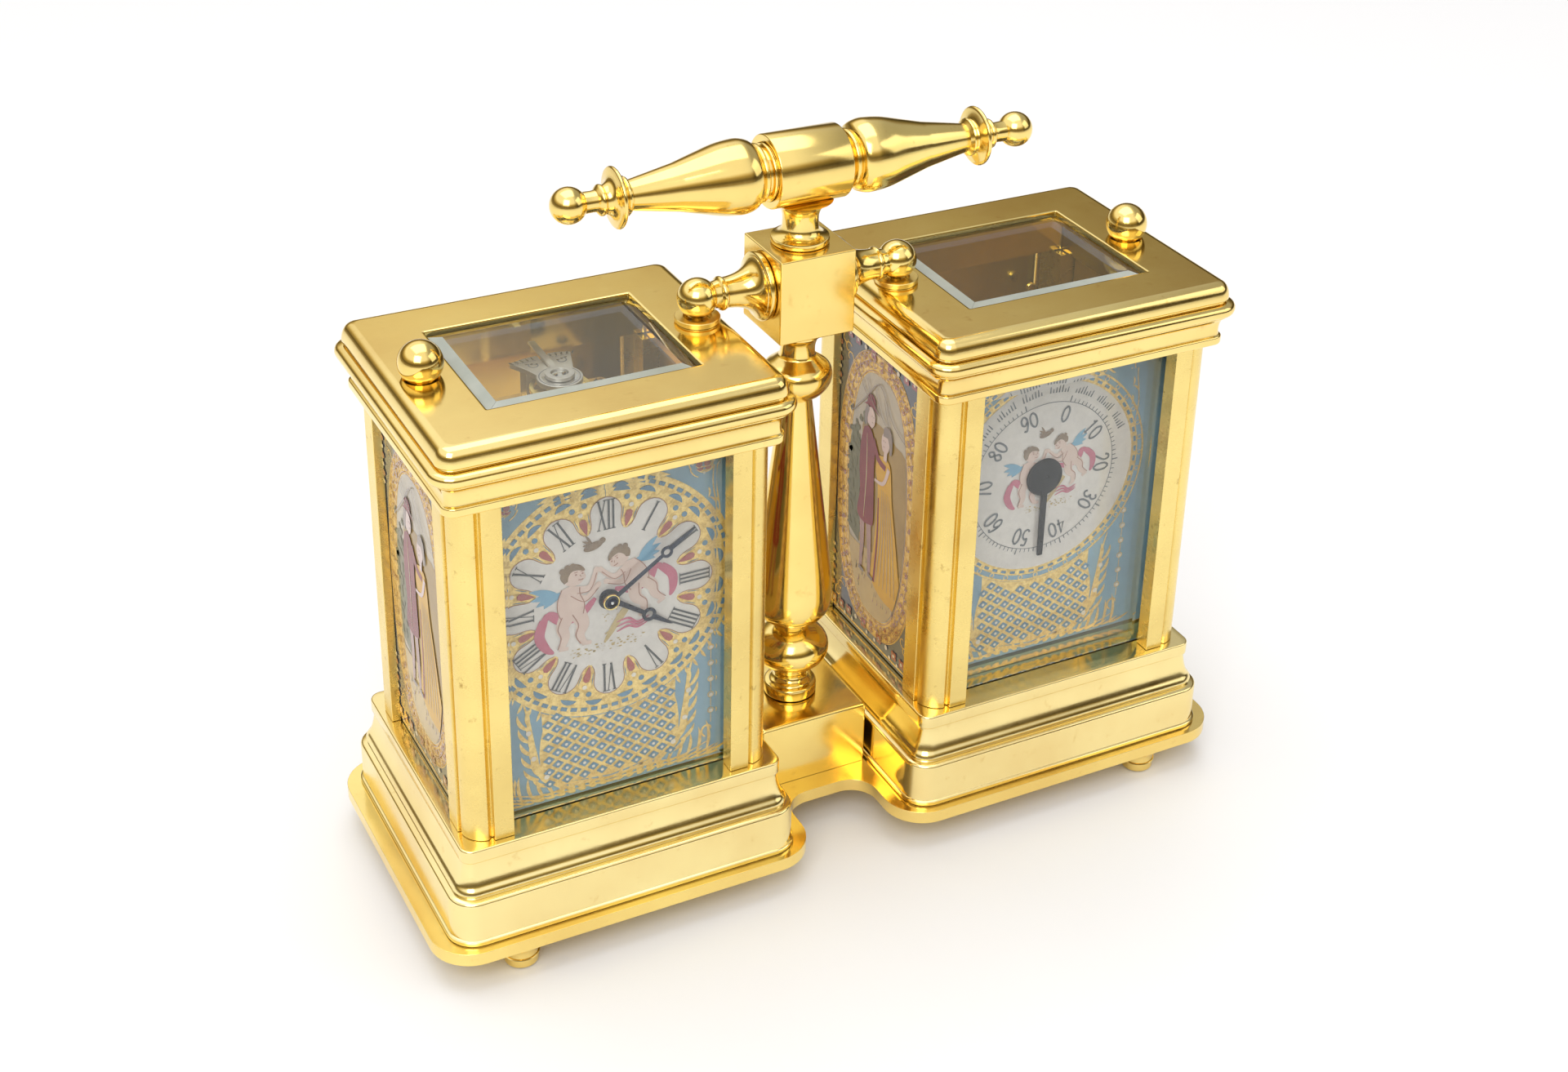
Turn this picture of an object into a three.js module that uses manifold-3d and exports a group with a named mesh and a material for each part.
// Twin miniature desk set: a sub-miniature carriage clock and a matching hygrometer on one
// waisted base plate, joined by a turned pillar with a T-handle.
// Millimetres, +Z up, +X to the viewer's right, +Y to the back. The front faces -Y and the
// origin is on the ground under the middle of the set.
import * as THREE from 'three';
import { mergeVertices } from 'three/addons/utils/BufferGeometryUtils.js';
import Module from 'manifold-3d';

const wasm = await Module();
wasm.setup();

// ---------------------------------------------------------------- driving dimensions
const CASE_SPACING = 34.7; // from the middle of the set to the middle of each case
const CASE_HX = 22.1; // half width of a case body
const CASE_HY = 18.8; // half depth of a case body
const FOOT_H = 4.5;
const PLATE_T = 2.0;
const BASE_H = 14.0; // moulded base of a case
const BODY_H = 50.4; // height of the corner posts
const TOP_H = 9.6; // moulded top of a case
const PLATE_MARGIN_X = 5.8; // base plate beyond the case body
const PLATE_MARGIN_Y = 4.9;
const NECK_HY = 11.3; // half depth of the base plate's narrow neck
const FIT = 0.05; // gap between pieces that rest on each other
const RUN = 0.08; // radial clearance of a turning pivot

const PLATE_Z = FOOT_H;
const BASE_Z = PLATE_Z + PLATE_T;
const BODY_Z = BASE_Z + BASE_H;
const ROOF_Z = BODY_Z + BODY_H; // underside of the case top
const TOP_Z = ROOF_Z + TOP_H;

// Corner posts: a quarter round with a flat strip on each side of it.
const POST_R = 3.2;
const FRONT_STRIP = 2.9;
const SIDE_STRIP = 3.6;
const STRIP_PROUD = 0.3;
const STRIP_T = 2.5; // thickness of the front strip in front of the glass
const OPENING_HX = CASE_HX - POST_R - FRONT_STRIP - 0.2; // half width between the front strips
const GLASS_Y = -(CASE_HY + STRIP_PROUD - STRIP_T); // outer face of the front glass

// Door in the back of each case.
const DOOR_T = 1.8;
const DOOR_HX = OPENING_HX - 0.2;
const DOOR_STILE = 3.0;
const DOOR_TOP_RAIL = 10.0; // hides the platform from behind
const DOOR_Y = CASE_HY + 0.2; // outer face of the door
const HINGE_X = DOOR_HX - DOOR_T / 2;
const HINGE_Y = DOOR_Y - DOOR_T / 2;
const HINGE_R = 0.5;
const HINGE_DEPTH = 1.3; // how far a hinge pin reaches into the base and the top

// Clock works.
const DIAL_Y = -13.6; // front face of the clock dial
const DIAL_T = 0.9;
const DIAL_HX = 19.8; // nearly from panel to panel, behind the posts
const DIAL_Z = BODY_Z + 30.0; // height of the hands' axis
const MINUTE_HAND = 14.7;
const HOUR_HAND = 11.0;
const CLOCK_MINUTES = 4 * 60 + 9.3; // the time shown
const FRONT_PLATE_Y = -10.0;
const BACK_PLATE_Y = 9.0;
const PLATE_HX = 14.0;
const MOVEMENT_TOP = BODY_Z + 46.9;

// Train: teeth, modules and planes. Wheels turn on axes along Y.
const BARREL = { teeth: 36, module: 0.5 };
const CENTRE_PINION = { teeth: 6, module: 0.5 };
const CENTRE = { teeth: 48, module: 1 / 3 };
const THIRD_PINION = { teeth: 6, module: 1 / 3 };
const THIRD = { teeth: 45, module: 4 / 15 };
const CONTRATE_PINION = { teeth: 6, module: 4 / 15 };
const CANNON = { teeth: 10, module: 0.22 };
const MOTION = { teeth: 30, module: 0.22 };
const MOTION_PINION = { teeth: 8, module: 0.22 };
const HOUR = { teeth: 32, module: 0.22 };
const CONTRATE_R = 4.9;
const CONTRATE_TEETH = 36;
const ESCAPE_PINION_R = 0.8;

// Platform escapement, under the top glass. Its arbors stand upright.
const PLATFORM_Z = MOVEMENT_TOP + FIT;
const PLATFORM_T = 1.0;
const ESCAPE_AT = [0, -5.4];
const LEVER_AT = [0.3, -1.7];
const BALANCE_AT = [0.7, 2.6];
const BALANCE_R = 4.1;

// Hygrometer works.
const HYGRO_DIAL_Y = -10.6;
const NEEDLE_LENGTH = 13.0;
const NEEDLE_HUB_R = 3.3;

// Pillar, cube, arms and T-handle.
const BLOCK_HX = 8.6;
const BLOCK_HY = 8.2;
const BLOCK_TOP = PLATE_Z + 12.2;
const CUBE = 11.3;
const CUBE_H = 12.2;
const CUBE_Z = PLATE_Z + 72.7;
const ARM_Z = PLATE_Z + 79.4;
const ARM_BALL_X = 15.2; // ball centre from the middle of the set
const ARM_BALL_R = 2.8;
const STUD_R = 0.8; // screw under each ball
const WASHER_T = 0.8;
const WASHER_HOLE = 1.9; // wide enough for the ball to dip in
const HANDLE_Z = PLATE_Z + 95.8;
const SLEEVE_HX = 5.4; // half length of the handle's sleeve
const SLEEVE_R = 5.1;
const FINIAL_X = 19.0; // from the middle of a case

// Smaller sizes of single pieces.
const FOOT_X = 15.8; // from the middle of a case
const FOOT_Y = 19.6;
const STUD_DEPTH = 1.6;
const SLEEVE_RECESS = 0.6;
const SLEEVE_RECESS_R = 4.3;
const GRIP_BALL_X = 33.2;
const BASE_CORNER_R = 0.4; // corner radius of the case body, before a moulding's offset
const TOP_CORNER_R = 0.6;
const BASE_FLOOR_T = 3.0;
const [WELL_HX, WELL_HY] = [20.0, 16.3]; // hollow of the base
const [ROOF_HX, ROOF_HY] = [18.5, 15.4]; // hollow of the top
const [WINDOW_HX, WINDOW_HY] = [14.6, 11.9];
const WINDOW_LIP = 1.0;
const GLASS_LAND = 0.7; // part of a glass that its frame covers
const PANEL_SET = 1.0; // side panel behind the side strips
const PANEL_T = 1.2;
const DOOR_Z = BODY_Z + 0.3;
const DOOR_H = BODY_H - 0.6;
const SLOT_STEP = 4.6;
const SLOT_R = 1.1;
const SLOT_TOP = BODY_Z + 37;
const SLOT_BOTTOM = BODY_Z + 13;
const MOVEMENT_PLATE_T = 1.2;
const [PLATFORM_HX, PLATFORM_HY] = [10.0, 10.0];
const CENTRE_ARBOR_R = 0.5;
const BARREL_ARBOR_R = 1.0;
const ARBOR_R = 0.4;
const STAFF_R = 0.2;
const ESCAPE_STAFF_R = 0.25;
const ESCAPE_ROOT_R = 2.0;
const ESCAPE_TIP_R = 2.75;
const BARREL_GEAR_Y = -7.6;
const BARREL_BACK_Y = 2.8;
const BARREL_DRUM_R = 8.2;
const CENTRE_WHEEL_Y = 4.2;
const THIRD_WHEEL_Y = -1.0;
const RATCHET_R = 4.4;
const SQUARE_Y = 14.0; // back end of the winding and setting squares
const MOTION_Y = -11.2;
const HOUR_WHEEL_Y = -12.3;
const MOTION_STUD_Y = -12.5;
const HAND_ARBOR_Y = -14.8;
const MINUTE_HAND_Y = -15.0;
const HOUR_HAND_Y = -14.4;
const HAND_T = 0.3;
const CANNON_PIPE_R = 0.8;
const ESCAPE_Z = PLATFORM_Z + PLATFORM_T + 0.4;
const LEVER_Z = ESCAPE_Z;
const BALANCE_Z = ESCAPE_Z + 3.0;
const COCK_Z = BALANCE_Z + 1.3;
const COCK_T = 0.7;
const COCK_EYE_R = 3.1;
const COCK_REACH = 7.5; // from the balance staff to the ends of the cock's lobes
const POINTER_REACH = 10.4;
const COIL_Y = -7.6;
const COIL_W = 2.0;
const COIL_R = 6.0;

// ---------------------------------------------------------------- materials
const material = (color, roughness, metalness, extra = {}) =>
  new THREE.MeshStandardMaterial({ color, roughness, metalness, ...extra });
const BRASS = material(0xd9b45a, 0.18, 1.0);
const PLATE_BRASS = material(0xc9a14c, 0.38, 1.0);
const STEEL = material(0xb9bcc0, 0.3, 1.0);
const BLUED = material(0x28313d, 0.3, 0.9);
const BLACK = material(0x23262b, 0.5, 0.2);
const PORCELAIN = material(0xd8dde0, 0.25, 0.0);
const GLASS = material(0xdfe8e4, 0.05, 0.0, { transparent: true, opacity: 0.3 });
const COIL = material(0xb87a4a, 0.4, 0.9);

// ---------------------------------------------------------------- solids and booleans
const TAU = Math.PI * 2;
const rad = THREE.MathUtils.degToRad;

// A closed solid of a geometry: shared points merged, slivers at a lathe's axis dropped,
// faces turned outwards.
function solid(geometry) {
  const bare = geometry.clone();
  bare.deleteAttribute('normal');
  bare.deleteAttribute('uv');
  const merged = mergeVertices(bare, 1e-5);
  const position = merged.attributes.position;
  const index = merged.index.array;
  const a = new THREE.Vector3();
  const b = new THREE.Vector3();
  const c = new THREE.Vector3();
  const faces = [];
  let volume = 0;
  for (let i = 0; i < index.length; i += 3) {
    const [p, q, r] = [index[i], index[i + 1], index[i + 2]];
    if (p === q || q === r || r === p) continue;
    a.fromBufferAttribute(position, p);
    b.fromBufferAttribute(position, q);
    c.fromBufferAttribute(position, r);
    volume += a.dot(b.cross(c));
    faces.push([p, q, r]);
  }
  const order = volume < 0 ? ([p, q, r]) => [p, r, q] : (face) => face;
  const triVerts = new Uint32Array(faces.flatMap(order));
  const vertProperties = new Float32Array(position.array);
  return new wasm.Manifold(new wasm.Mesh({ numProp: 3, vertProperties, triVerts }));
}

const join = (...parts) => parts.reduce((sum, part) => sum.add(part));
const cut = (body, ...tools) => tools.reduce((rest, tool) => rest.subtract(tool), body);

function named(name, body, look) {
  const { numProp, vertProperties, triVerts } = body.getMesh();
  const geometry = new THREE.BufferGeometry();
  const points = new Float32Array((vertProperties.length / numProp) * 3);
  for (let i = 0; i < points.length / 3; i += 1) {
    points.set(vertProperties.subarray(i * numProp, i * numProp + 3), i * 3);
  }
  geometry.setAttribute('position', new THREE.BufferAttribute(points, 3));
  geometry.setIndex([...triVerts]);
  geometry.computeVertexNormals();
  const mesh = new THREE.Mesh(geometry, look);
  mesh.name = name;
  return mesh;
}

// ---------------------------------------------------------------- basic shapes
function box(x0, x1, y0, y1, z0, z1) {
  const geometry = new THREE.BoxGeometry(x1 - x0, y1 - y0, z1 - z0);
  geometry.translate((x0 + x1) / 2, (y0 + y1) / 2, (z0 + z1) / 2);
  return solid(geometry);
}

function extrude(shape, depth, curveSegments = 6) {
  return new THREE.ExtrudeGeometry(shape, { depth, bevelEnabled: false, curveSegments });
}

// An outline in X and Y, standing from z0 to z1.
function prismZ(shape, z0, z1, curveSegments) {
  return solid(extrude(shape, z1 - z0, curveSegments).translate(0, 0, z0));
}

// An outline in X and Z, reaching from y0 back to y1.
function prismY(shape, y0, y1, curveSegments) {
  const geometry = extrude(shape, y1 - y0, curveSegments).rotateX(Math.PI / 2);
  return solid(geometry.translate(0, y1, 0));
}

function rodZ(x, y, r, z0, z1, segments = 12) {
  const geometry = new THREE.CylinderGeometry(r, r, z1 - z0, segments);
  return solid(geometry.rotateX(Math.PI / 2).translate(x, y, (z0 + z1) / 2));
}

function rodY(x, z, r, y0, y1, segments = 12) {
  const geometry = new THREE.CylinderGeometry(r, r, y1 - y0, segments);
  return solid(geometry.translate(x, (y0 + y1) / 2, z));
}

// A turned solid about Z. The profile is a list of [radius, height] from axis to axis.
function turned(profile, segments = 16) {
  const points = profile.map(([r, h]) => new THREE.Vector2(r, h));
  return new THREE.LatheGeometry(points, segments).rotateX(Math.PI / 2);
}

// Profile points of an arc about (radius, height), between two angles in degrees.
function arc(r0, h0, radius, from, to, steps = 4) {
  const points = [];
  for (let i = 0; i <= steps; i += 1) {
    const angle = rad(from + ((to - from) * i) / steps);
    points.push([r0 + radius * Math.cos(angle), h0 + radius * Math.sin(angle)]);
  }
  return points;
}

// A polygon whose corners [x, y, radius] are rounded, whether they point out or in.
function filleted(corners) {
  const shape = new THREE.Shape();
  corners.forEach(([x, y, radius], i) => {
    const at = new THREE.Vector2(x, y);
    const [px, py] = corners.at(i - 1);
    const [nx, ny] = corners[(i + 1) % corners.length];
    const back = new THREE.Vector2(px, py).sub(at).normalize();
    const ahead = new THREE.Vector2(nx, ny).sub(at).normalize();
    const start = at.clone().addScaledVector(back, radius);
    const end = at.clone().addScaledVector(ahead, radius);
    const centre = start.clone().addScaledVector(ahead, radius);
    const turnsLeft = back.cross(ahead) < 0;
    if (i === 0) shape.moveTo(start.x, start.y);
    else shape.lineTo(start.x, start.y);
    const from = Math.atan2(start.y - centre.y, start.x - centre.x);
    const to = Math.atan2(end.y - centre.y, end.x - centre.x);
    shape.absarc(centre.x, centre.y, radius, from, to, !turnsLeft);
  });
  shape.closePath();
  return shape;
}

// A moulding that runs round a rectangle: each [offset, z] of the profile is a rounded
// rectangle that far outside the half sizes, and the first and last are closed flat.
function moulding(profile, halfX, halfY, cornerR, cornerSteps = 4) {
  const rings = profile.map(([offset, z]) => {
    const r = Math.max(cornerR + offset, 0.4);
    const ring = [];
    for (let corner = 0; corner < 4; corner += 1) {
      const sx = corner === 0 || corner === 3 ? 1 : -1;
      const sy = corner < 2 ? 1 : -1;
      for (let step = 0; step <= cornerSteps; step += 1) {
        const angle = ((corner + step / cornerSteps) * Math.PI) / 2;
        const x = sx * (halfX + offset - r) + r * Math.cos(angle);
        const y = sy * (halfY + offset - r) + r * Math.sin(angle);
        ring.push([x, y, z]);
      }
    }
    return ring;
  });
  const count = rings[0].length;
  const index = [];
  for (let level = 0; level < rings.length - 1; level += 1) {
    for (let i = 0; i < count; i += 1) {
      const j = (i + 1) % count;
      const low = level * count;
      const high = low + count;
      index.push(low + i, low + j, high + j, low + i, high + j, high + i);
    }
  }
  const last = (rings.length - 1) * count;
  for (let i = 1; i < count - 1; i += 1) {
    index.push(0, i + 1, i, last, last + i, last + i + 1);
  }
  const geometry = new THREE.BufferGeometry();
  geometry.setAttribute('position', new THREE.Float32BufferAttribute(rings.flat(2), 3));
  geometry.setIndex(index);
  return solid(geometry);
}

// ---------------------------------------------------------------- gears
const pitchRadius = ({ teeth, module }) => (teeth * module) / 2;
const meshDistance = (a, b) => pitchRadius(a) + pitchRadius(b);

// A toothed outline round (x, z) with the middle of one tooth at the angle `phase`.
function gearShape(gear, x, z, phase) {
  const pitch = pitchRadius(gear);
  const root = pitch - 1.1 * gear.module;
  const tip = pitch + 0.8 * gear.module;
  const step = TAU / gear.teeth;
  const shape = new THREE.Shape();
  for (let tooth = 0; tooth < gear.teeth; tooth += 1) {
    const middle = phase + tooth * step;
    const corners = [[root, -0.27], [tip, 0], [root, 0.27]];
    corners.forEach(([r, along], i) => {
      const angle = middle + along * step;
      const px = x + r * Math.cos(angle);
      const pz = z + r * Math.sin(angle);
      if (tooth === 0 && i === 0) shape.moveTo(px, pz);
      else shape.lineTo(px, pz);
    });
  }
  shape.closePath();
  return shape;
}

const gearY = (gear, at, phase, y0, y1) => prismY(gearShape(gear, at[0], at[1], phase), y0, y1);

// The phase that puts a gap of `gear` on the line towards a neighbour's tooth.
const gapTowards = (gear, angle) => angle + Math.PI / gear.teeth;

// Round windows that leave four arms in a wheel.
function crossings(at, radius, size, y0, y1) {
  const holes = [];
  for (let arm = 0; arm < 4; arm += 1) {
    const angle = ((arm + 0.5) * Math.PI) / 2;
    const x = at[0] + radius * Math.cos(angle);
    const z = at[1] + radius * Math.sin(angle);
    holes.push(rodY(x, z, size, y0 - 1, y1 + 1, 6));
  }
  return holes;
}

// ---------------------------------------------------------------- stand
function basePlate() {
  const x = CASE_SPACING + CASE_HX + PLATE_MARGIN_X;
  const inner = CASE_SPACING - CASE_HX - PLATE_MARGIN_X;
  const y = CASE_HY + PLATE_MARGIN_Y;
  const cornerR = 6;
  const innerR = 4;
  const front = [
    [-x, -y, cornerR], [-inner, -y, cornerR], [-inner, -NECK_HY, innerR],
    [inner, -NECK_HY, innerR], [inner, -y, cornerR], [x, -y, cornerR],
  ];
  const back = front.map(([px, py, r]) => [-px, -py, r]);
  return named('base_plate', prismZ(filleted([...front, ...back]), PLATE_Z, BASE_Z - FIT, 4), BRASS);
}

function foot(name, sx, sy) {
  const top = PLATE_Z - FIT;
  const profile = [[0, 0], [2.2, 0], [2.4, 0.4], [2.4, 2.6], [3.4, 3.8], [3.4, top], [0, top]];
  const mesh = named(name, solid(turned(profile, 16)), BRASS);
  mesh.position.set(sx * (CASE_SPACING + FOOT_X), sy * FOOT_Y, 0);
  return mesh;
}

function centreBlock() {
  const profile = [[0, BASE_Z], [0, BLOCK_TOP - 0.4], [-0.4, BLOCK_TOP]];
  return named('centre_block', moulding(profile, BLOCK_HX, BLOCK_HY, 0.6, 2), BRASS);
}

function pillar() {
  const bottom = BLOCK_TOP + FIT;
  const top = CUBE_Z - FIT;
  const bulb = arc(0, 0, 1, -60, 60, 5).map(([r, h]) => [5.6 * r, bottom + 8.0 + 3.9 * h]);
  const profile = [
    [0, bottom], [3.9, bottom], [3.9, bottom + 2.0], [2.9, bottom + 2.2], [2.2, bottom + 3.2],
    [3.0, bottom + 4.0], ...bulb,
    [2.6, bottom + 11.9], [2.4, bottom + 12.6], [3.6, bottom + 13.1], [5.2, bottom + 14.2],
    [5.8, bottom + 16.6], [5.5, bottom + 21.0], [2.2, bottom + 48.8], [2.6, bottom + 49.6],
    [4.2, bottom + 50.8], [4.9, bottom + 52.6], [4.5, bottom + 54.1], [3.2, bottom + 55.1],
    [2.4, bottom + 56.4], [2.4, bottom + 57.4], [3.4, bottom + 59.0], [3.4, top], [0, top],
  ];
  return named('pillar', solid(turned(profile)), BRASS);
}

function pillarCube() {
  const half = CUBE / 2;
  return named('pillar_cube', box(-half, half, -half, half, CUBE_Z, CUBE_Z + CUBE_H), BRASS);
}

// An arm from the cube to the ball over the inner edge of a case, with the screw that
// goes down from the ball through a washer into the case top.
function arm(name, side) {
  const start = CUBE / 2 + FIT;
  const profile = [
    [0, start], [4.8, start], [4.8, start + 0.9], [4.2, start + 1.1], [3.3, start + 2.1],
    [2.6, start + 3.4], [2.2, start + 4.8], [2.4, start + 5.8], [2.4, start + 6.6],
    ...arc(0, ARM_BALL_X, ARM_BALL_R, -47, 90, 5),
  ];
  const body = solid(turned(profile).rotateY(Math.PI / 2));
  const stud = rodZ(ARM_BALL_X, 0, STUD_R, TOP_Z - STUD_DEPTH - ARM_Z, 0);
  const mesh = named(name, join(body, stud), BRASS);
  mesh.rotation.z = side > 0 ? 0 : Math.PI;
  mesh.position.z = ARM_Z;
  return mesh;
}

function washer(name, side) {
  const z = TOP_Z + FIT;
  const ring = cut(rodZ(0, 0, 3.1, z, z + WASHER_T, 16), rodZ(0, 0, WASHER_HOLE, z - 1, z + 2, 16));
  const mesh = named(name, ring, PLATE_BRASS);
  mesh.position.x = side * ARM_BALL_X;
  return mesh;
}

// The sleeve that holds the two grips, on its short stem.
function handleTee() {
  const seat = CUBE_Z + CUBE_H + FIT;
  const stem = solid(turned([
    [0, seat], [4.0, seat], [4.0, seat + 1.0], [3.2, seat + 1.3], [2.5, seat + 2.2],
    [2.5, seat + 4.0], [3.4, seat + 5.7], [3.4, seat + 6.8], [0, seat + 6.8],
  ]));
  const recess = SLEEVE_HX - SLEEVE_RECESS;
  const sleeve = solid(turned([
    [0, -recess], [SLEEVE_RECESS_R, -recess], [SLEEVE_RECESS_R, -SLEEVE_HX], [SLEEVE_R, -SLEEVE_HX],
    [SLEEVE_R, SLEEVE_HX], [SLEEVE_RECESS_R, SLEEVE_HX], [SLEEVE_RECESS_R, recess], [0, recess],
  ], 20).rotateY(Math.PI / 2).translate(0, 0, HANDLE_Z));
  return named('handle_tee', join(stem, sleeve), BRASS);
}

function grip(name, side) {
  const start = SLEEVE_HX - SLEEVE_RECESS + FIT;
  const profile = [
    [0, start], [3.9, start], [3.9, start + 0.8], [3.4, start + 1.1], [3.9, start + 1.7],
    [3.9, start + 2.1], [4.6, start + 2.7], [5.1, start + 4.4], [5.0, start + 6.2],
    [4.3, start + 9.0], [3.3, start + 13.0], [2.1, start + 19.4], [1.95, start + 20.6],
    [2.8, start + 21.4], [4.1, start + 22.2], [4.1, start + 23.2], [2.0, start + 24.0],
    [1.5, start + 24.8], ...arc(0, GRIP_BALL_X, 2.45, -52, 90, 5),
  ];
  const mesh = named(name, solid(turned(profile).rotateY(Math.PI / 2)), BRASS);
  mesh.rotation.z = side > 0 ? 0 : Math.PI;
  mesh.position.z = HANDLE_Z;
  return mesh;
}

// A ball on a short collar, at the outer edge of a case top.
function finial(name, side) {
  const z = TOP_Z + FIT;
  const profile = [[0, z], [2.1, z], [2.1, z + 0.15], ...arc(0, z + 1.9, 3.0, -35, 90, 6)];
  const mesh = named(name, solid(turned(profile)), BRASS);
  mesh.position.x = side * (CASE_SPACING + FINIAL_X);
  return mesh;
}

// ---------------------------------------------------------------- cases
// Every case piece is made round the case's own middle; hinge is the side (-1 or 1) of
// the door's pins.
const hingeHole = (hinge, z0, z1) => rodZ(hinge * HINGE_X, HINGE_Y, HINGE_R + RUN, z0, z1);

function caseBase(name, hinge) {
  const profile = [
    [3.6, 0], [3.6, 0.6], [3.25, 0.9], [3.25, 6.4], [2.4, 7.2], [2.4, 7.6], [1.5, 9.4],
    [1.05, 11.8], [1.25, 12.0], [1.25, BASE_H - FIT],
  ].map(([offset, z]) => [offset, BASE_Z + z]);
  const floor = BODY_Z - BASE_FLOOR_T;
  const well = box(-WELL_HX, WELL_HX, -WELL_HY, WELL_HY, BASE_Z - 1, floor);
  const pin = hingeHole(hinge, BODY_Z - HINGE_DEPTH - 0.3, BODY_Z + 1);
  const coarse = moulding(profile, CASE_HX, CASE_HY, BASE_CORNER_R, 3);
  return named(name, cut(coarse, well, pin), BRASS);
}

// The outline of the corner post in the +X +Y corner.
function postShape() {
  const outX = CASE_HX + STRIP_PROUD;
  const outY = CASE_HY + STRIP_PROUD;
  const glassEdge = OPENING_HX + 1.6;
  const panelEdge = CASE_HY - POST_R - 1.9;
  const shape = new THREE.Shape();
  shape.moveTo(OPENING_HX, outY);
  shape.lineTo(OPENING_HX, outY - STRIP_T + FIT);
  shape.lineTo(glassEdge, outY - STRIP_T + FIT);
  shape.lineTo(glassEdge, panelEdge);
  shape.lineTo(CASE_HX - PANEL_SET, panelEdge);
  shape.lineTo(CASE_HX - PANEL_SET, CASE_HY - POST_R - SIDE_STRIP);
  shape.lineTo(outX, CASE_HY - POST_R - SIDE_STRIP);
  shape.lineTo(outX, CASE_HY - POST_R - 0.2);
  shape.lineTo(CASE_HX, CASE_HY - POST_R);
  shape.absarc(CASE_HX - POST_R, CASE_HY - POST_R, POST_R, 0, Math.PI / 2, false);
  shape.lineTo(CASE_HX - POST_R - 0.2, outY);
  shape.closePath();
  return shape;
}

function post(name, sx, sy) {
  const geometry = extrude(postShape(), BODY_H - 2 * FIT, 5);
  geometry.scale(sx, sy, 1).translate(0, 0, BODY_Z);
  return named(name, solid(geometry), BRASS);
}

function caseTop(name, hinge, inner) {
  const profile = [
    [1.25, FIT], [1.25, 1.4], [0.8, 2.2], [0.9, 3.4], [1.8, 4.5], [2.75, 5.2], [2.75, 6.2],
    [1.9, 6.9], [1.3, 7.0], [1.75, 7.2], [1.75, 7.6], [1.1, 8.3], [0.1, TOP_H],
  ].map(([offset, z]) => [offset, ROOF_Z + z]);
  const ceiling = TOP_Z - WINDOW_LIP;
  const well = box(-ROOF_HX, ROOF_HX, -ROOF_HY, ROOF_HY, ROOF_Z - 1, ceiling);
  const window = box(-WINDOW_HX, WINDOW_HX, -WINDOW_HY, WINDOW_HY, ceiling - 1, TOP_Z + 1);
  const pin = hingeHole(hinge, ROOF_Z - 1, ROOF_Z + HINGE_DEPTH + 0.3);
  const studX = inner * (CASE_SPACING - ARM_BALL_X);
  const stud = rodZ(studX, 0, STUD_R + RUN, ceiling - 1, TOP_Z + 1);
  const coarse = moulding(profile, CASE_HX, CASE_HY, TOP_CORNER_R, 3);
  return named(name, cut(coarse, well, window, pin, stud), BRASS);
}

// Plate glass with a ground bevel: a slab, then the bevel up to the smaller flat face.
function bevelledGlass(halfX, halfY, slabT, bevelT, bevelW) {
  const profile = [[0, 0], [0, slabT], [-GLASS_LAND, slabT], [-GLASS_LAND - bevelW, slabT + bevelT]];
  return moulding(profile, halfX, halfY, 0.4, 1);
}

function topGlass(name) {
  const glass = bevelledGlass(WINDOW_HX + 0.6, WINDOW_HY + 0.6, 1.1, WINDOW_LIP - 0.2, 2.3);
  return named(name, glass.translate([0, 0, TOP_Z - WINDOW_LIP - 1.1 - FIT]), GLASS);
}

function frontGlass(name) {
  const halfZ = BODY_H / 2 - 0.1;
  const glass = bevelledGlass(OPENING_HX + 1.4, halfZ, 0.7, 0.6, 1.7);
  const upright = glass.rotate([90, 0, 0]).translate([0, GLASS_Y + 1.3, BODY_Z + BODY_H / 2]);
  return named(name, upright, GLASS);
}

function sidePanel(name, side) {
  const halfY = CASE_HY - POST_R - 2.2;
  const outer = CASE_HX - PANEL_SET - FIT;
  const x0 = side > 0 ? outer - PANEL_T : -outer;
  const panel = box(x0, x0 + PANEL_T, -halfY, halfY, BODY_Z + 0.1, ROOF_Z - 0.1);
  return named(name, panel, PORCELAIN);
}

// The door's outline in plan: square at the latch side and half round at the hinge.
function doorPlan(hinge) {
  const inner = DOOR_Y - DOOR_T;
  const shape = new THREE.Shape();
  shape.moveTo(-DOOR_HX, inner);
  shape.lineTo(HINGE_X, inner);
  shape.absarc(HINGE_X, HINGE_Y, DOOR_T / 2, -Math.PI / 2, Math.PI / 2, false);
  shape.lineTo(-DOOR_HX, DOOR_Y);
  shape.closePath();
  const geometry = extrude(shape, DOOR_H, 4);
  return solid(geometry.scale(hinge, 1, 1).translate(0, 0, DOOR_Z));
}

function doorKnob(hinge) {
  const knob = turned([[0, -0.3], [0.7, -0.3], [0.7, 0.6], [1.2, 0.9], [1.2, 1.6], [0.8, 2.0], [0, 2.0]], 12);
  knob.rotateX(-Math.PI / 2).translate(-hinge * (DOOR_HX - DOOR_STILE / 2), DOOR_Y, BODY_Z + BODY_H / 2);
  return solid(knob);
}

function doorFrame(hinge) {
  const x = hinge * HINGE_X;
  const lower = rodZ(x, HINGE_Y, HINGE_R, BODY_Z - HINGE_DEPTH, DOOR_Z + 1);
  const upper = rodZ(x, HINGE_Y, HINGE_R, DOOR_Z + DOOR_H - 1, ROOF_Z + HINGE_DEPTH);
  return join(doorPlan(hinge), lower, upper, doorKnob(hinge));
}

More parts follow.
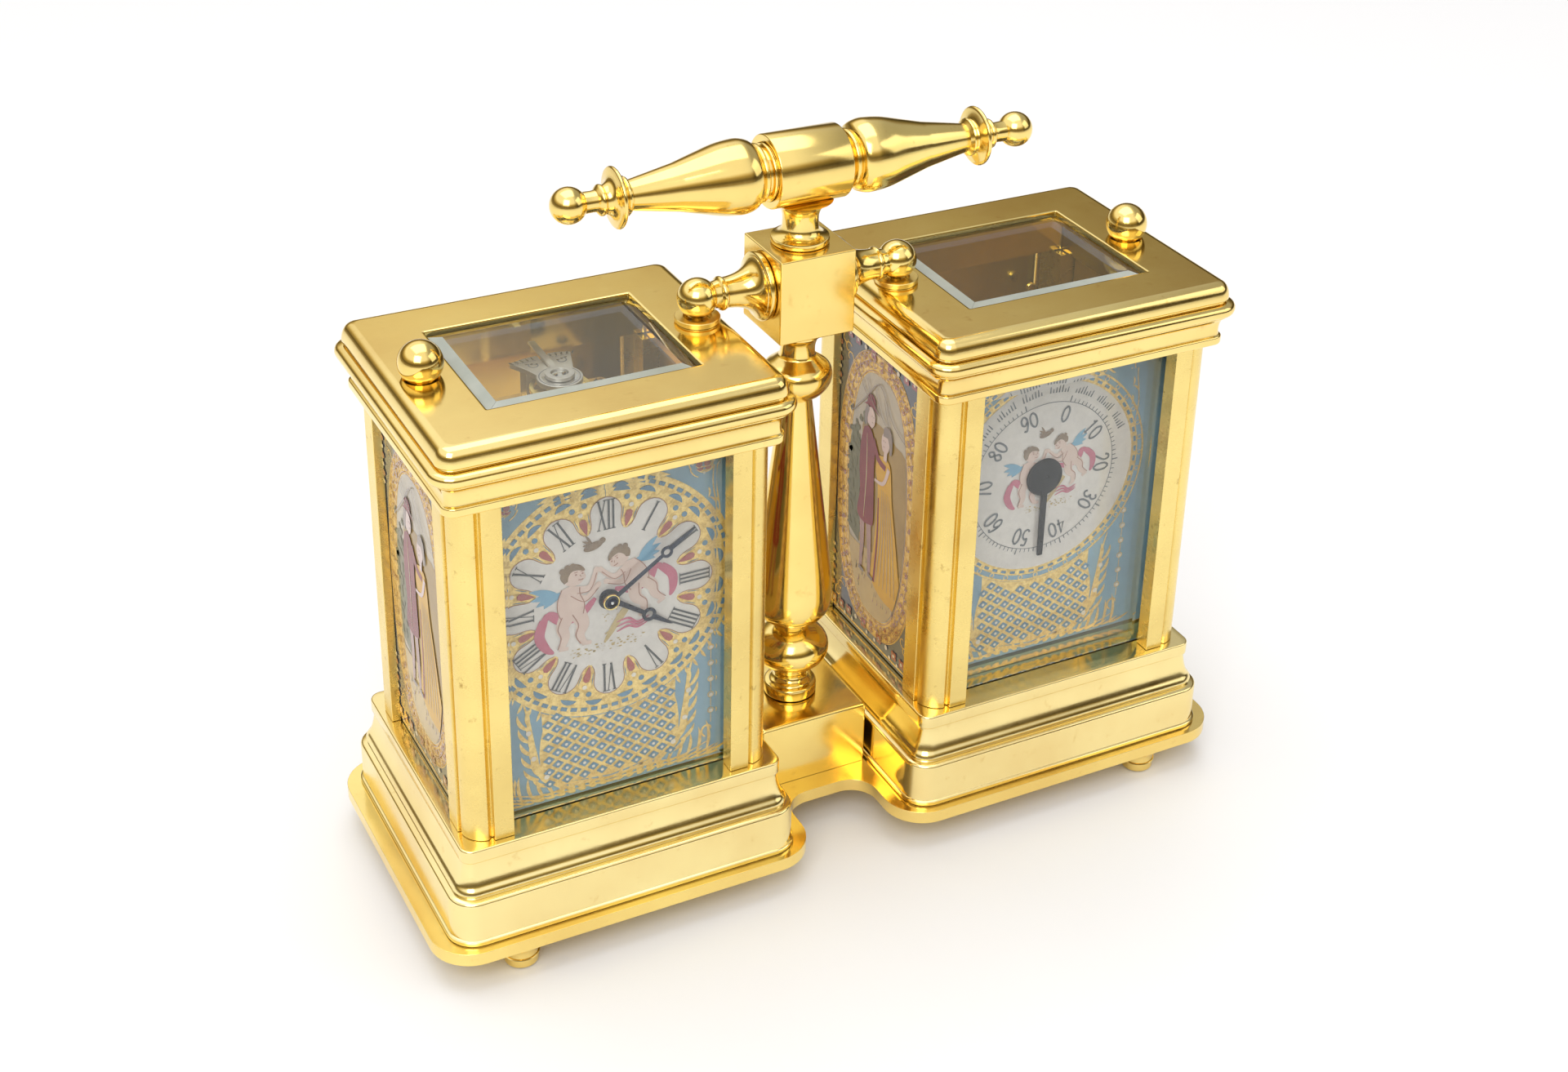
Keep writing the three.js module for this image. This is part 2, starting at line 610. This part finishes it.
function glazedDoor(name, hinge) {
  const light = DOOR_HX - DOOR_STILE;
  const [z0, z1] = [DOOR_Z + DOOR_STILE, DOOR_Z + DOOR_H - DOOR_TOP_RAIL];
  const opening = box(-light, light, DOOR_Y - 3, DOOR_Y + 1, z0, z1);
  const rebate = box(-light - 0.8, light + 0.8, DOOR_Y - 3, DOOR_Y - 0.7, z0 - 0.8, z1 + 0.8);
  return named(name, cut(doorFrame(hinge), opening, rebate), BRASS);
}

function doorGlass(name) {
  const light = DOOR_HX - DOOR_STILE + 0.7;
  const [z0, z1] = [DOOR_Z + DOOR_STILE - 0.7, DOOR_Z + DOOR_H - DOOR_TOP_RAIL + 0.7];
  return named(name, box(-light, light, DOOR_Y - 1.7, DOOR_Y - 0.75, z0, z1), GLASS);
}

// A plain brass door with upright slots that let the room's air reach the coil.
function piercedDoor(name, hinge) {
  const slots = [];
  for (let column = -2; column <= 2; column += 1) {
    const outline = new THREE.Shape();
    const x = column * SLOT_STEP;
    outline.absarc(x, SLOT_TOP, SLOT_R, 0, Math.PI, false);
    outline.absarc(x, SLOT_BOTTOM, SLOT_R, Math.PI, TAU, false);
    outline.closePath();
    slots.push(prismY(outline, DOOR_Y - 3, DOOR_Y + 1, 3));
  }
  return named(name, cut(doorFrame(hinge), ...slots), BRASS);
}

// ---------------------------------------------------------------- clock works
// Wheel centres as [x, z], with the centre arbor behind the hands.
const CENTRE_AT = [0, DIAL_Z];
const BARREL_AT = [0, DIAL_Z - meshDistance(BARREL, CENTRE_PINION)];
const THIRD_ANGLE = rad(135);
const THIRD_AT = polar(CENTRE_AT, meshDistance(CENTRE, THIRD_PINION), THIRD_ANGLE);
const CONTRATE_ANGLE = Math.acos((ESCAPE_AT[0] - THIRD_AT[0]) / meshDistance(THIRD, CONTRATE_PINION));
const CONTRATE_AT = polar(THIRD_AT, meshDistance(THIRD, CONTRATE_PINION), CONTRATE_ANGLE);
const MOTION_ANGLE = rad(-30);
const MOTION_AT = polar(CENTRE_AT, meshDistance(CANNON, MOTION), MOTION_ANGLE);

function polar([x, z], distance, angle) {
  return [x + distance * Math.cos(angle), z + distance * Math.sin(angle)];
}

function clockDial() {
  const outline = new THREE.Shape();
  const [z0, z1] = [BODY_Z + 0.3, ROOF_Z - 0.3];
  outline.moveTo(-DIAL_HX, z0).lineTo(DIAL_HX, z0).lineTo(DIAL_HX, z1).lineTo(-DIAL_HX, z1).closePath();
  const plate = prismY(outline, DIAL_Y, DIAL_Y + DIAL_T);
  return named('clock_dial', cut(plate, rodY(0, DIAL_Z, 1.7, DIAL_Y - 1, DIAL_Y + 2, 16)), PORCELAIN);
}

// Both movement plates have the same pivot holes.
function pivotHoles(y0, y1) {
  const at = (place, r) => rodY(place[0], place[1], r + RUN, y0 - 1, y1 + 1, 12);
  return [
    at(CENTRE_AT, CENTRE_ARBOR_R), at(BARREL_AT, BARREL_ARBOR_R), at(THIRD_AT, ARBOR_R),
    at(CONTRATE_AT, ARBOR_R),
  ];
}

function movementFrontPlate() {
  const y1 = FRONT_PLATE_Y + MOVEMENT_PLATE_T;
  const plate = box(-PLATE_HX, PLATE_HX, FRONT_PLATE_Y, y1, BODY_Z + FIT, MOVEMENT_TOP);
  const rods = [];
  for (const sx of [-1, 1]) {
    for (const z of [BODY_Z + 2.4, MOVEMENT_TOP - 2.4]) {
      rods.push(rodY(sx * (PLATE_HX - 2), z, 1.0, y1 - 0.5, BACK_PLATE_Y - FIT, 10));
    }
  }
  const motionStud = rodY(MOTION_AT[0], MOTION_AT[1], ARBOR_R, MOTION_STUD_Y, FRONT_PLATE_Y + 0.3, 10);
  const body = cut(plate, ...pivotHoles(FRONT_PLATE_Y, y1));
  return named('movement_front_plate', join(body, ...rods, motionStud), PLATE_BRASS);
}

function movementBackPlate() {
  const y1 = BACK_PLATE_Y + MOVEMENT_PLATE_T;
  const plate = box(-PLATE_HX, PLATE_HX, BACK_PLATE_Y, y1, BODY_Z + FIT, MOVEMENT_TOP);
  return named('movement_back_plate', cut(plate, ...pivotHoles(BACK_PLATE_Y, y1)), PLATE_BRASS);
}

// Arbors end flush inside the plates.
const ARBOR_FRONT = FRONT_PLATE_Y + 0.2;
const ARBOR_BACK = BACK_PLATE_Y + MOVEMENT_PLATE_T - 0.2;

function mainspringBarrel() {
  const gearPhase = gapTowards(BARREL, Math.PI / 2);
  const ring = gearY(BARREL, BARREL_AT, gearPhase, BARREL_GEAR_Y, BARREL_GEAR_Y + 1.0);
  const drum = rodY(...BARREL_AT, BARREL_DRUM_R, BARREL_GEAR_Y, BARREL_BACK_Y, 24);
  const hollow = rodY(...BARREL_AT, BARREL_DRUM_R - 0.8, BARREL_GEAR_Y + 1.4, BARREL_BACK_Y + 1, 24);
  const bore = rodY(...BARREL_AT, BARREL_ARBOR_R + RUN, BARREL_GEAR_Y - 1, BARREL_BACK_Y, 12);
  return named('mainspring_barrel', cut(join(ring, drum), hollow, bore), PLATE_BRASS);
}

// The arbor that winds the spring: ratchet wheel behind the back plate, square at its end.
function windingArbor() {
  const behind = BACK_PLATE_Y + MOVEMENT_PLATE_T + 0.2;
  const rod = rodY(...BARREL_AT, BARREL_ARBOR_R, ARBOR_FRONT, behind + 1, 12);
  const ratchet = prismY(ratchetShape(BARREL_AT, RATCHET_R, 20), behind, behind + 0.8);
  const [x, z] = BARREL_AT;
  const half = 0.8;
  const square = box(x - half, x + half, behind, SQUARE_Y, z - half, z + half);
  return named('winding_arbor', join(rod, ratchet, square), STEEL);
}

function ratchetShape([x, z], radius, teeth) {
  const shape = new THREE.Shape();
  for (let tooth = 0; tooth < teeth; tooth += 1) {
    const angle = (tooth * TAU) / teeth;
    const root = polar([x, z], radius * 0.84, angle);
    const tip = polar([x, z], radius, angle + 0.06);
    if (tooth === 0) shape.moveTo(...root);
    else shape.lineTo(...root);
    shape.lineTo(...tip);
  }
  shape.closePath();
  return shape;
}

function centreWheel() {
  const rod = rodY(...CENTRE_AT, CENTRE_ARBOR_R, HAND_ARBOR_Y, BACK_PLATE_Y + 2, 12);
  const pinion = gearY(CENTRE_PINION, CENTRE_AT, -Math.PI / 2, BARREL_GEAR_Y - 0.4, BARREL_GEAR_Y + 1.4);
  const phase = THIRD_ANGLE;
  const rim = gearY(CENTRE, CENTRE_AT, phase, CENTRE_WHEEL_Y, CENTRE_WHEEL_Y + 0.8);
  const open = crossings(CENTRE_AT, 4.4, 1.9, CENTRE_WHEEL_Y, CENTRE_WHEEL_Y + 0.8);
  const half = 0.45;
  const [x, z] = CENTRE_AT;
  const square = box(x - half, x + half, BACK_PLATE_Y + 1.5, SQUARE_Y, z - half, z + half);
  return named('centre_wheel', join(rod, pinion, cut(rim, ...open), square), PLATE_BRASS);
}

function thirdWheel() {
  const rod = rodY(...THIRD_AT, ARBOR_R, ARBOR_FRONT, ARBOR_BACK, 12);
  const pinionPhase = gapTowards(THIRD_PINION, THIRD_ANGLE + Math.PI);
  const pinion = gearY(THIRD_PINION, THIRD_AT, pinionPhase, CENTRE_WHEEL_Y - 0.4, CENTRE_WHEEL_Y + 1.2);
  const rim = gearY(THIRD, THIRD_AT, CONTRATE_ANGLE, THIRD_WHEEL_Y, THIRD_WHEEL_Y + 0.7);
  const open = crossings(THIRD_AT, 3.3, 1.4, THIRD_WHEEL_Y, THIRD_WHEEL_Y + 0.7);
  return named('third_wheel', join(rod, pinion, cut(rim, ...open)), PLATE_BRASS);
}

// The contrate wheel has its teeth on the face of its rim, to turn an upright pinion.
function contrateWheel() {
  const rod = rodY(...CONTRATE_AT, ARBOR_R, ARBOR_FRONT, ARBOR_BACK, 12);
  const pinionPhase = gapTowards(CONTRATE_PINION, CONTRATE_ANGLE + Math.PI);
  const pinion = gearY(CONTRATE_PINION, CONTRATE_AT, pinionPhase, THIRD_WHEEL_Y - 0.4, THIRD_WHEEL_Y + 1.1);
  const tipY = ESCAPE_AT[1] - ESCAPE_PINION_R + 0.25;
  const faceY = tipY - 0.8;
  const web = rodY(...CONTRATE_AT, CONTRATE_R, faceY - 0.5, faceY, 24);
  const open = crossings(CONTRATE_AT, 2.5, 1.1, faceY - 0.5, faceY);
  const teeth = [];
  for (let tooth = 0; tooth < CONTRATE_TEETH; tooth += 1) {
    teeth.push(crownTooth(Math.PI / 2 + (tooth * TAU) / CONTRATE_TEETH, faceY - 0.1, tipY));
  }
  return named('contrate_wheel', join(rod, pinion, cut(web, ...open), ...teeth), PLATE_BRASS);
}

function crownTooth(angle, y0, y1) {
  const outline = new THREE.Shape();
  const [halfWide, depth] = [0.15, 0.8];
  outline.moveTo(CONTRATE_R - depth, 0).lineTo(CONTRATE_R, -halfWide).lineTo(CONTRATE_R, halfWide);
  outline.closePath();
  const geometry = extrude(outline, y1 - y0).rotateZ(angle).rotateX(Math.PI / 2);
  return solid(geometry.translate(CONTRATE_AT[0], y1, CONTRATE_AT[1]));
}

function platformPlate() {
  const [x, y] = [PLATFORM_HX, PLATFORM_HY];
  const outline = filleted([[-x, -y, 1], [x, -y, 1], [x, y, 1], [-x, y, 1]]);
  const plate = prismZ(outline, PLATFORM_Z, PLATFORM_Z + PLATFORM_T, 3);
  const hole = ([hx, hy], r) => rodZ(hx, hy, r, PLATFORM_Z - 1, PLATFORM_Z + 3);
  const holes = [
    hole(ESCAPE_AT, ESCAPE_STAFF_R + RUN), hole(LEVER_AT, STAFF_R + RUN), hole(BALANCE_AT, STAFF_R + RUN),
  ];
  return named('platform_plate', cut(plate, ...holes), STEEL);
}

function escapeWheel() {
  const shape = new THREE.Shape();
  const teeth = 15;
  for (let tooth = 0; tooth < teeth; tooth += 1) {
    const angle = (tooth * TAU) / teeth;
    const start = polar(ESCAPE_AT, ESCAPE_ROOT_R, angle);
    if (tooth === 0) shape.moveTo(...start);
    else shape.lineTo(...start);
    shape.lineTo(...polar(ESCAPE_AT, ESCAPE_TIP_R, angle + 0.2));
    shape.lineTo(...polar(ESCAPE_AT, ESCAPE_ROOT_R, angle + 0.16));
  }
  shape.closePath();
  const wheel = prismZ(shape, ESCAPE_Z, ESCAPE_Z + 0.4);
  const contrateTop = CONTRATE_AT[1] + CONTRATE_R;
  const staff = rodZ(...ESCAPE_AT, ESCAPE_STAFF_R, contrateTop - 1.2, ESCAPE_Z + 1.2, 12);
  const leaves = starShape(ESCAPE_AT, 6, 0.4, ESCAPE_PINION_R);
  const pinion = prismZ(leaves, contrateTop - 1.2, contrateTop + 0.4);
  return named('escape_wheel', join(wheel, staff, pinion), STEEL);
}

// A leaf pinion seen from above, with a gap towards -Y.
function starShape([x, y], leaves, root, tip) {
  const shape = new THREE.Shape();
  const step = TAU / leaves;
  for (let leaf = 0; leaf < leaves; leaf += 1) {
    const middle = -Math.PI / 2 + (leaf + 0.5) * step;
    const corners = [[root, -0.25], [tip, -0.1], [tip, 0.1], [root, 0.25]];
    corners.forEach(([r, along], i) => {
      const point = polar([x, y], r, middle + along * step);
      if (leaf === 0 && i === 0) shape.moveTo(...point);
      else shape.lineTo(...point);
    });
  }
  shape.closePath();
  return shape;
}

// The pallet lever: two pallets either side of the escape wheel and a fork at the balance.
function palletLever() {
  const [x, y] = LEVER_AT;
  const shape = new THREE.Shape();
  const pallet = 3.0;
  const fork = BALANCE_AT[1] - 0.7;
  shape.moveTo(x - pallet, y - 1.5).lineTo(x - pallet + 0.5, y - 1.5).lineTo(x - pallet + 0.9, y - 0.4);
  shape.lineTo(x + pallet - 0.9, y - 0.4).lineTo(x + pallet - 0.5, y - 1.5).lineTo(x + pallet, y - 1.5);
  shape.lineTo(x + pallet - 0.2, y + 0.4).lineTo(x + 0.4, y + 0.5).lineTo(x + 0.5, fork);
  shape.lineTo(x + 0.25, fork).lineTo(x, fork - 0.5).lineTo(x - 0.25, fork).lineTo(x - 0.5, fork);
  shape.lineTo(x - 0.4, y + 0.5).lineTo(x - pallet + 0.2, y + 0.4).closePath();
  const staff = rodZ(x, y, STAFF_R, PLATFORM_Z + 0.2, LEVER_Z + 0.9, 10);
  return named('pallet_lever', join(prismZ(shape, LEVER_Z, LEVER_Z + 0.35), staff), STEEL);
}

function balanceWheel() {
  const [x, y] = BALANCE_AT;
  const rim = cut(
    rodZ(x, y, BALANCE_R, BALANCE_Z, BALANCE_Z + 0.6, 24),
    rodZ(x, y, BALANCE_R - 0.6, BALANCE_Z - 1, BALANCE_Z + 2, 24),
  );
  const armReach = BALANCE_R - 0.3;
  const arms = box(x - armReach, x + armReach, y - 0.4, y + 0.4, BALANCE_Z + 0.1, BALANCE_Z + 0.5);
  const staff = rodZ(x, y, STAFF_R, PLATFORM_Z + 0.2, COCK_Z + 0.4, 10);
  const roller = rodZ(x, y, 1.0, BALANCE_Z - 0.7, BALANCE_Z - 0.4, 12);
  return named('balance_wheel', join(rim, arms, staff, roller), PLATE_BRASS);
}

// The cock that holds the balance's upper pivot: a round end and two fan-shaped lobes that
// reach back to its foot on the platform.
function balanceCock() {
  const [x, y] = BALANCE_AT;
  const shape = new THREE.Shape();
  shape.absarc(x, y, COCK_EYE_R, rad(170), rad(370), false);
  shape.absarc(x, y, COCK_REACH, rad(55), rad(125), false);
  shape.closePath();
  const plate = prismZ(shape, COCK_Z, COCK_Z + COCK_T, 6);
  const [footBottom, footTop] = [PLATFORM_Z + PLATFORM_T + FIT, COCK_Z + 0.1];
  const foot = box(x - 3.0, x + 3.0, y + BALANCE_R + 0.5, PLATFORM_HY - 0.4, footBottom, footTop);
  const hole = rodZ(x, y, STAFF_R + RUN, COCK_Z - 1, COCK_Z + COCK_T + 1, 12);
  return named('balance_cock', cut(join(plate, foot), hole), STEEL);
}

// The regulator's ring lies on the cock round the pivot and its pointer reaches back.
function regulatorIndex() {
  const [x, y] = BALANCE_AT;
  const z = COCK_Z + COCK_T + 0.1;
  const pointer = box(x - 0.45, x + 0.45, y + 1.6, y + POINTER_REACH, z, z + 0.4);
  const ring = cut(join(rodZ(x, y, 2.0, z, z + 0.5, 20), pointer), rodZ(x, y, 1.2, z - 1, z + 2, 16));
  return named('regulator_index', ring, STEEL);
}

// ---------------------------------------------------------------- hands and motion work
// A hand in X and Z, pointing up: a slim tapered stem, a ring near the tip and the point.
function handBody(length, ringAt, ringR, y0, y1) {
  const outline = new THREE.Shape();
  outline.moveTo(-0.42, 0).lineTo(0.42, 0).lineTo(0.24, length * 0.9).lineTo(0.05, length);
  outline.lineTo(-0.05, length).lineTo(-0.24, length * 0.9).closePath();
  const stem = prismY(outline, y0, y1);
  const ring = rodY(0, ringAt, ringR, y0, y1, 16);
  return cut(join(stem, ring), rodY(0, ringAt, ringR - 0.4, y0 - 1, y1 + 1, 16));
}

function turnedHand(body, minutesPerTurn) {
  const degrees = (CLOCK_MINUTES / minutesPerTurn) * 360;
  return body.rotate([0, degrees, 0]);
}

// The minute hand with its cannon pinion, on the centre arbor.
function minuteHand() {
  const hand = join(
    handBody(MINUTE_HAND, MINUTE_HAND * 0.62, 1.0, MINUTE_HAND_Y, MINUTE_HAND_Y + HAND_T),
    rodY(0, 0, 1.2, MINUTE_HAND_Y, MINUTE_HAND_Y + HAND_T, 16),
  );
  const pipe = rodY(0, 0, CANNON_PIPE_R, MINUTE_HAND_Y, FRONT_PLATE_Y - 0.2, 16);
  const phase = MOTION_ANGLE;
  const pinion = gearY(CANNON, [0, 0], phase, MOTION_Y, MOTION_Y + 0.7);
  const bore = rodY(0, 0, CENTRE_ARBOR_R + RUN, MINUTE_HAND_Y - 1, FRONT_PLATE_Y, 12);
  const body = cut(join(turnedHand(hand, 60), pipe, pinion), bore);
  return named('minute_hand', body.translate([0, 0, DIAL_Z]), BLUED);
}

// The hour hand with its pipe and hour wheel, round the cannon pinion's pipe.
function hourHand() {
  const hand = join(
    handBody(HOUR_HAND, HOUR_HAND * 0.62, 1.15, HOUR_HAND_Y, HOUR_HAND_Y + HAND_T),
    rodY(0, 0, 1.6, HOUR_HAND_Y, HOUR_HAND_Y + HAND_T, 16),
  );
  const pipe = rodY(0, 0, CANNON_PIPE_R + 0.45, HOUR_HAND_Y, HOUR_WHEEL_Y + 0.6, 16);
  const wheel = gearY(HOUR, [0, 0], gapTowards(HOUR, MOTION_ANGLE), HOUR_WHEEL_Y, HOUR_WHEEL_Y + 0.5);
  const bore = rodY(0, 0, CANNON_PIPE_R + RUN, HOUR_HAND_Y - 1, HOUR_WHEEL_Y + 1, 16);
  const body = cut(join(turnedHand(hand, 720), pipe, wheel), bore);
  return named('hour_hand', body.translate([0, 0, DIAL_Z]), BLUED);
}

// The minute wheel and its pinion, on a stud in the front plate.
function minuteWheel() {
  const towardsCentre = MOTION_ANGLE + Math.PI;
  const wheel = gearY(MOTION, MOTION_AT, gapTowards(MOTION, towardsCentre), MOTION_Y, MOTION_Y + 0.6);
  const pinion = gearY(MOTION_PINION, MOTION_AT, towardsCentre, HOUR_WHEEL_Y - 0.1, MOTION_Y + 0.1);
  const bore = rodY(...MOTION_AT, ARBOR_R + RUN, HOUR_WHEEL_Y - 1, MOTION_Y + 2, 12);
  return named('minute_wheel', cut(join(wheel, pinion), bore), PLATE_BRASS);
}

// ---------------------------------------------------------------- hygrometer works
function hygrometerDial() {
  const outline = new THREE.Shape();
  const [z0, z1] = [BODY_Z + 0.3, ROOF_Z - 0.3];
  outline.moveTo(-DIAL_HX, z0).lineTo(DIAL_HX, z0).lineTo(DIAL_HX, z1).lineTo(-DIAL_HX, z1).closePath();
  const plate = prismY(outline, HYGRO_DIAL_Y, HYGRO_DIAL_Y + DIAL_T);
  const hole = rodY(0, DIAL_Z, 1.2, HYGRO_DIAL_Y - 1, HYGRO_DIAL_Y + 2, 16);
  return named('hygrometer_dial', cut(plate, hole), PORCELAIN);
}

// A disc with one straight pointer, at rest straight down in the middle of its scale.
function hygrometerNeedle() {
  const front = HYGRO_DIAL_Y - 0.9;
  const back = front + 0.4;
  const outline = new THREE.Shape();
  outline.moveTo(-0.5, -NEEDLE_LENGTH).lineTo(0.5, -NEEDLE_LENGTH).lineTo(0.5, 0).lineTo(-0.5, 0).closePath();
  const body = join(
    prismY(outline, front, back),
    rodY(0, 0, NEEDLE_HUB_R, front, back, 24),
    rodY(0, 0, ARBOR_R, front, COIL_Y + COIL_W + 1.8, 12),
  );
  return named('hygrometer_needle', body.translate([0, 0, DIAL_Z]), BLACK);
}

// The moisture-sensitive coil round the needle's arbor, with the bracket that holds it.
function humidityCoil() {
  const strip = new THREE.Shape();
  const points = [];
  const turns = 2.5;
  const steps = 36;
  for (let i = 0; i <= steps; i += 1) {
    const share = i / steps;
    points.push([1.6 + (COIL_R - 1.6) * share, Math.PI / 2 - turns * TAU * (1 - share)]);
  }
  const outer = points.map(([r, angle]) => polar([0, DIAL_Z], r, angle));
  const inner = points.map(([r, angle]) => polar([0, DIAL_Z], r - 0.3, angle)).reverse();
  [...outer, ...inner].forEach((point, i) => (i === 0 ? strip.moveTo(...point) : strip.lineTo(...point)));
  strip.closePath();
  const coil = prismY(strip, COIL_Y, COIL_Y + COIL_W);
  const back = COIL_Y + COIL_W + 0.8;
  const uprightT = 1.2;
  const upright = cut(
    box(-5, 5, back, back + uprightT, BODY_Z + 0.1, DIAL_Z + COIL_R + 2),
    rodY(0, DIAL_Z, ARBOR_R + RUN, back - 1, back + 3, 12),
  );
  const lug = box(-1.5, 1.5, COIL_Y + 0.2, back + 0.2, DIAL_Z + COIL_R - 0.3, DIAL_Z + COIL_R + 1);
  const foot = box(-8, 8, back, back + 9, BODY_Z + FIT, BODY_Z + 1.6);
  return named('humidity_coil', join(coil, upright, lug, foot), COIL);
}

// ---------------------------------------------------------------- assembly
function caseGroup(prefix, hinge, inner) {
  const group = new THREE.Group();
  group.add(caseBase(`${prefix}_case_base`, hinge));
  for (const [word, sy] of [['front', -1], ['back', 1]]) {
    group.add(post(`${prefix}_post_${word}_left`, -1, sy));
    group.add(post(`${prefix}_post_${word}_right`, 1, sy));
  }
  group.add(caseTop(`${prefix}_case_top`, hinge, inner));
  group.add(topGlass(`${prefix}_top_glass`));
  group.add(frontGlass(`${prefix}_front_glass`));
  group.add(sidePanel(`${prefix}_left_panel`, -1));
  group.add(sidePanel(`${prefix}_right_panel`, 1));
  return group;
}

function clock() {
  const hinge = -1;
  const group = caseGroup('clock', hinge, 1);
  group.add(glazedDoor('clock_door_frame', hinge), doorGlass('clock_door_glass'));
  group.add(clockDial(), minuteHand(), hourHand(), minuteWheel());
  group.add(movementFrontPlate(), movementBackPlate(), mainspringBarrel(), windingArbor());
  group.add(centreWheel(), thirdWheel(), contrateWheel(), platformPlate(), escapeWheel());
  group.add(palletLever(), balanceWheel(), balanceCock(), regulatorIndex());
  group.position.x = -CASE_SPACING;
  return group;
}

function hygrometer() {
  const hinge = 1;
  const group = caseGroup('hygrometer', hinge, -1);
  group.add(piercedDoor('hygrometer_door', hinge));
  group.add(hygrometerDial(), hygrometerNeedle(), humidityCoil());
  group.position.x = CASE_SPACING;
  return group;
}

const model = new THREE.Group();
model.add(basePlate(), centreBlock(), pillar(), pillarCube(), handleTee());
for (const [word, side] of [['left', -1], ['right', 1]]) {
  model.add(arm(`arm_${word}`, side), washer(`washer_${word}`, side));
  model.add(grip(`grip_${word}`, side), finial(`finial_${word}`, side));
  model.add(foot(`foot_front_${word}`, side, -1), foot(`foot_back_${word}`, side, 1));
}
model.add(clock(), hygrometer());

export default model;
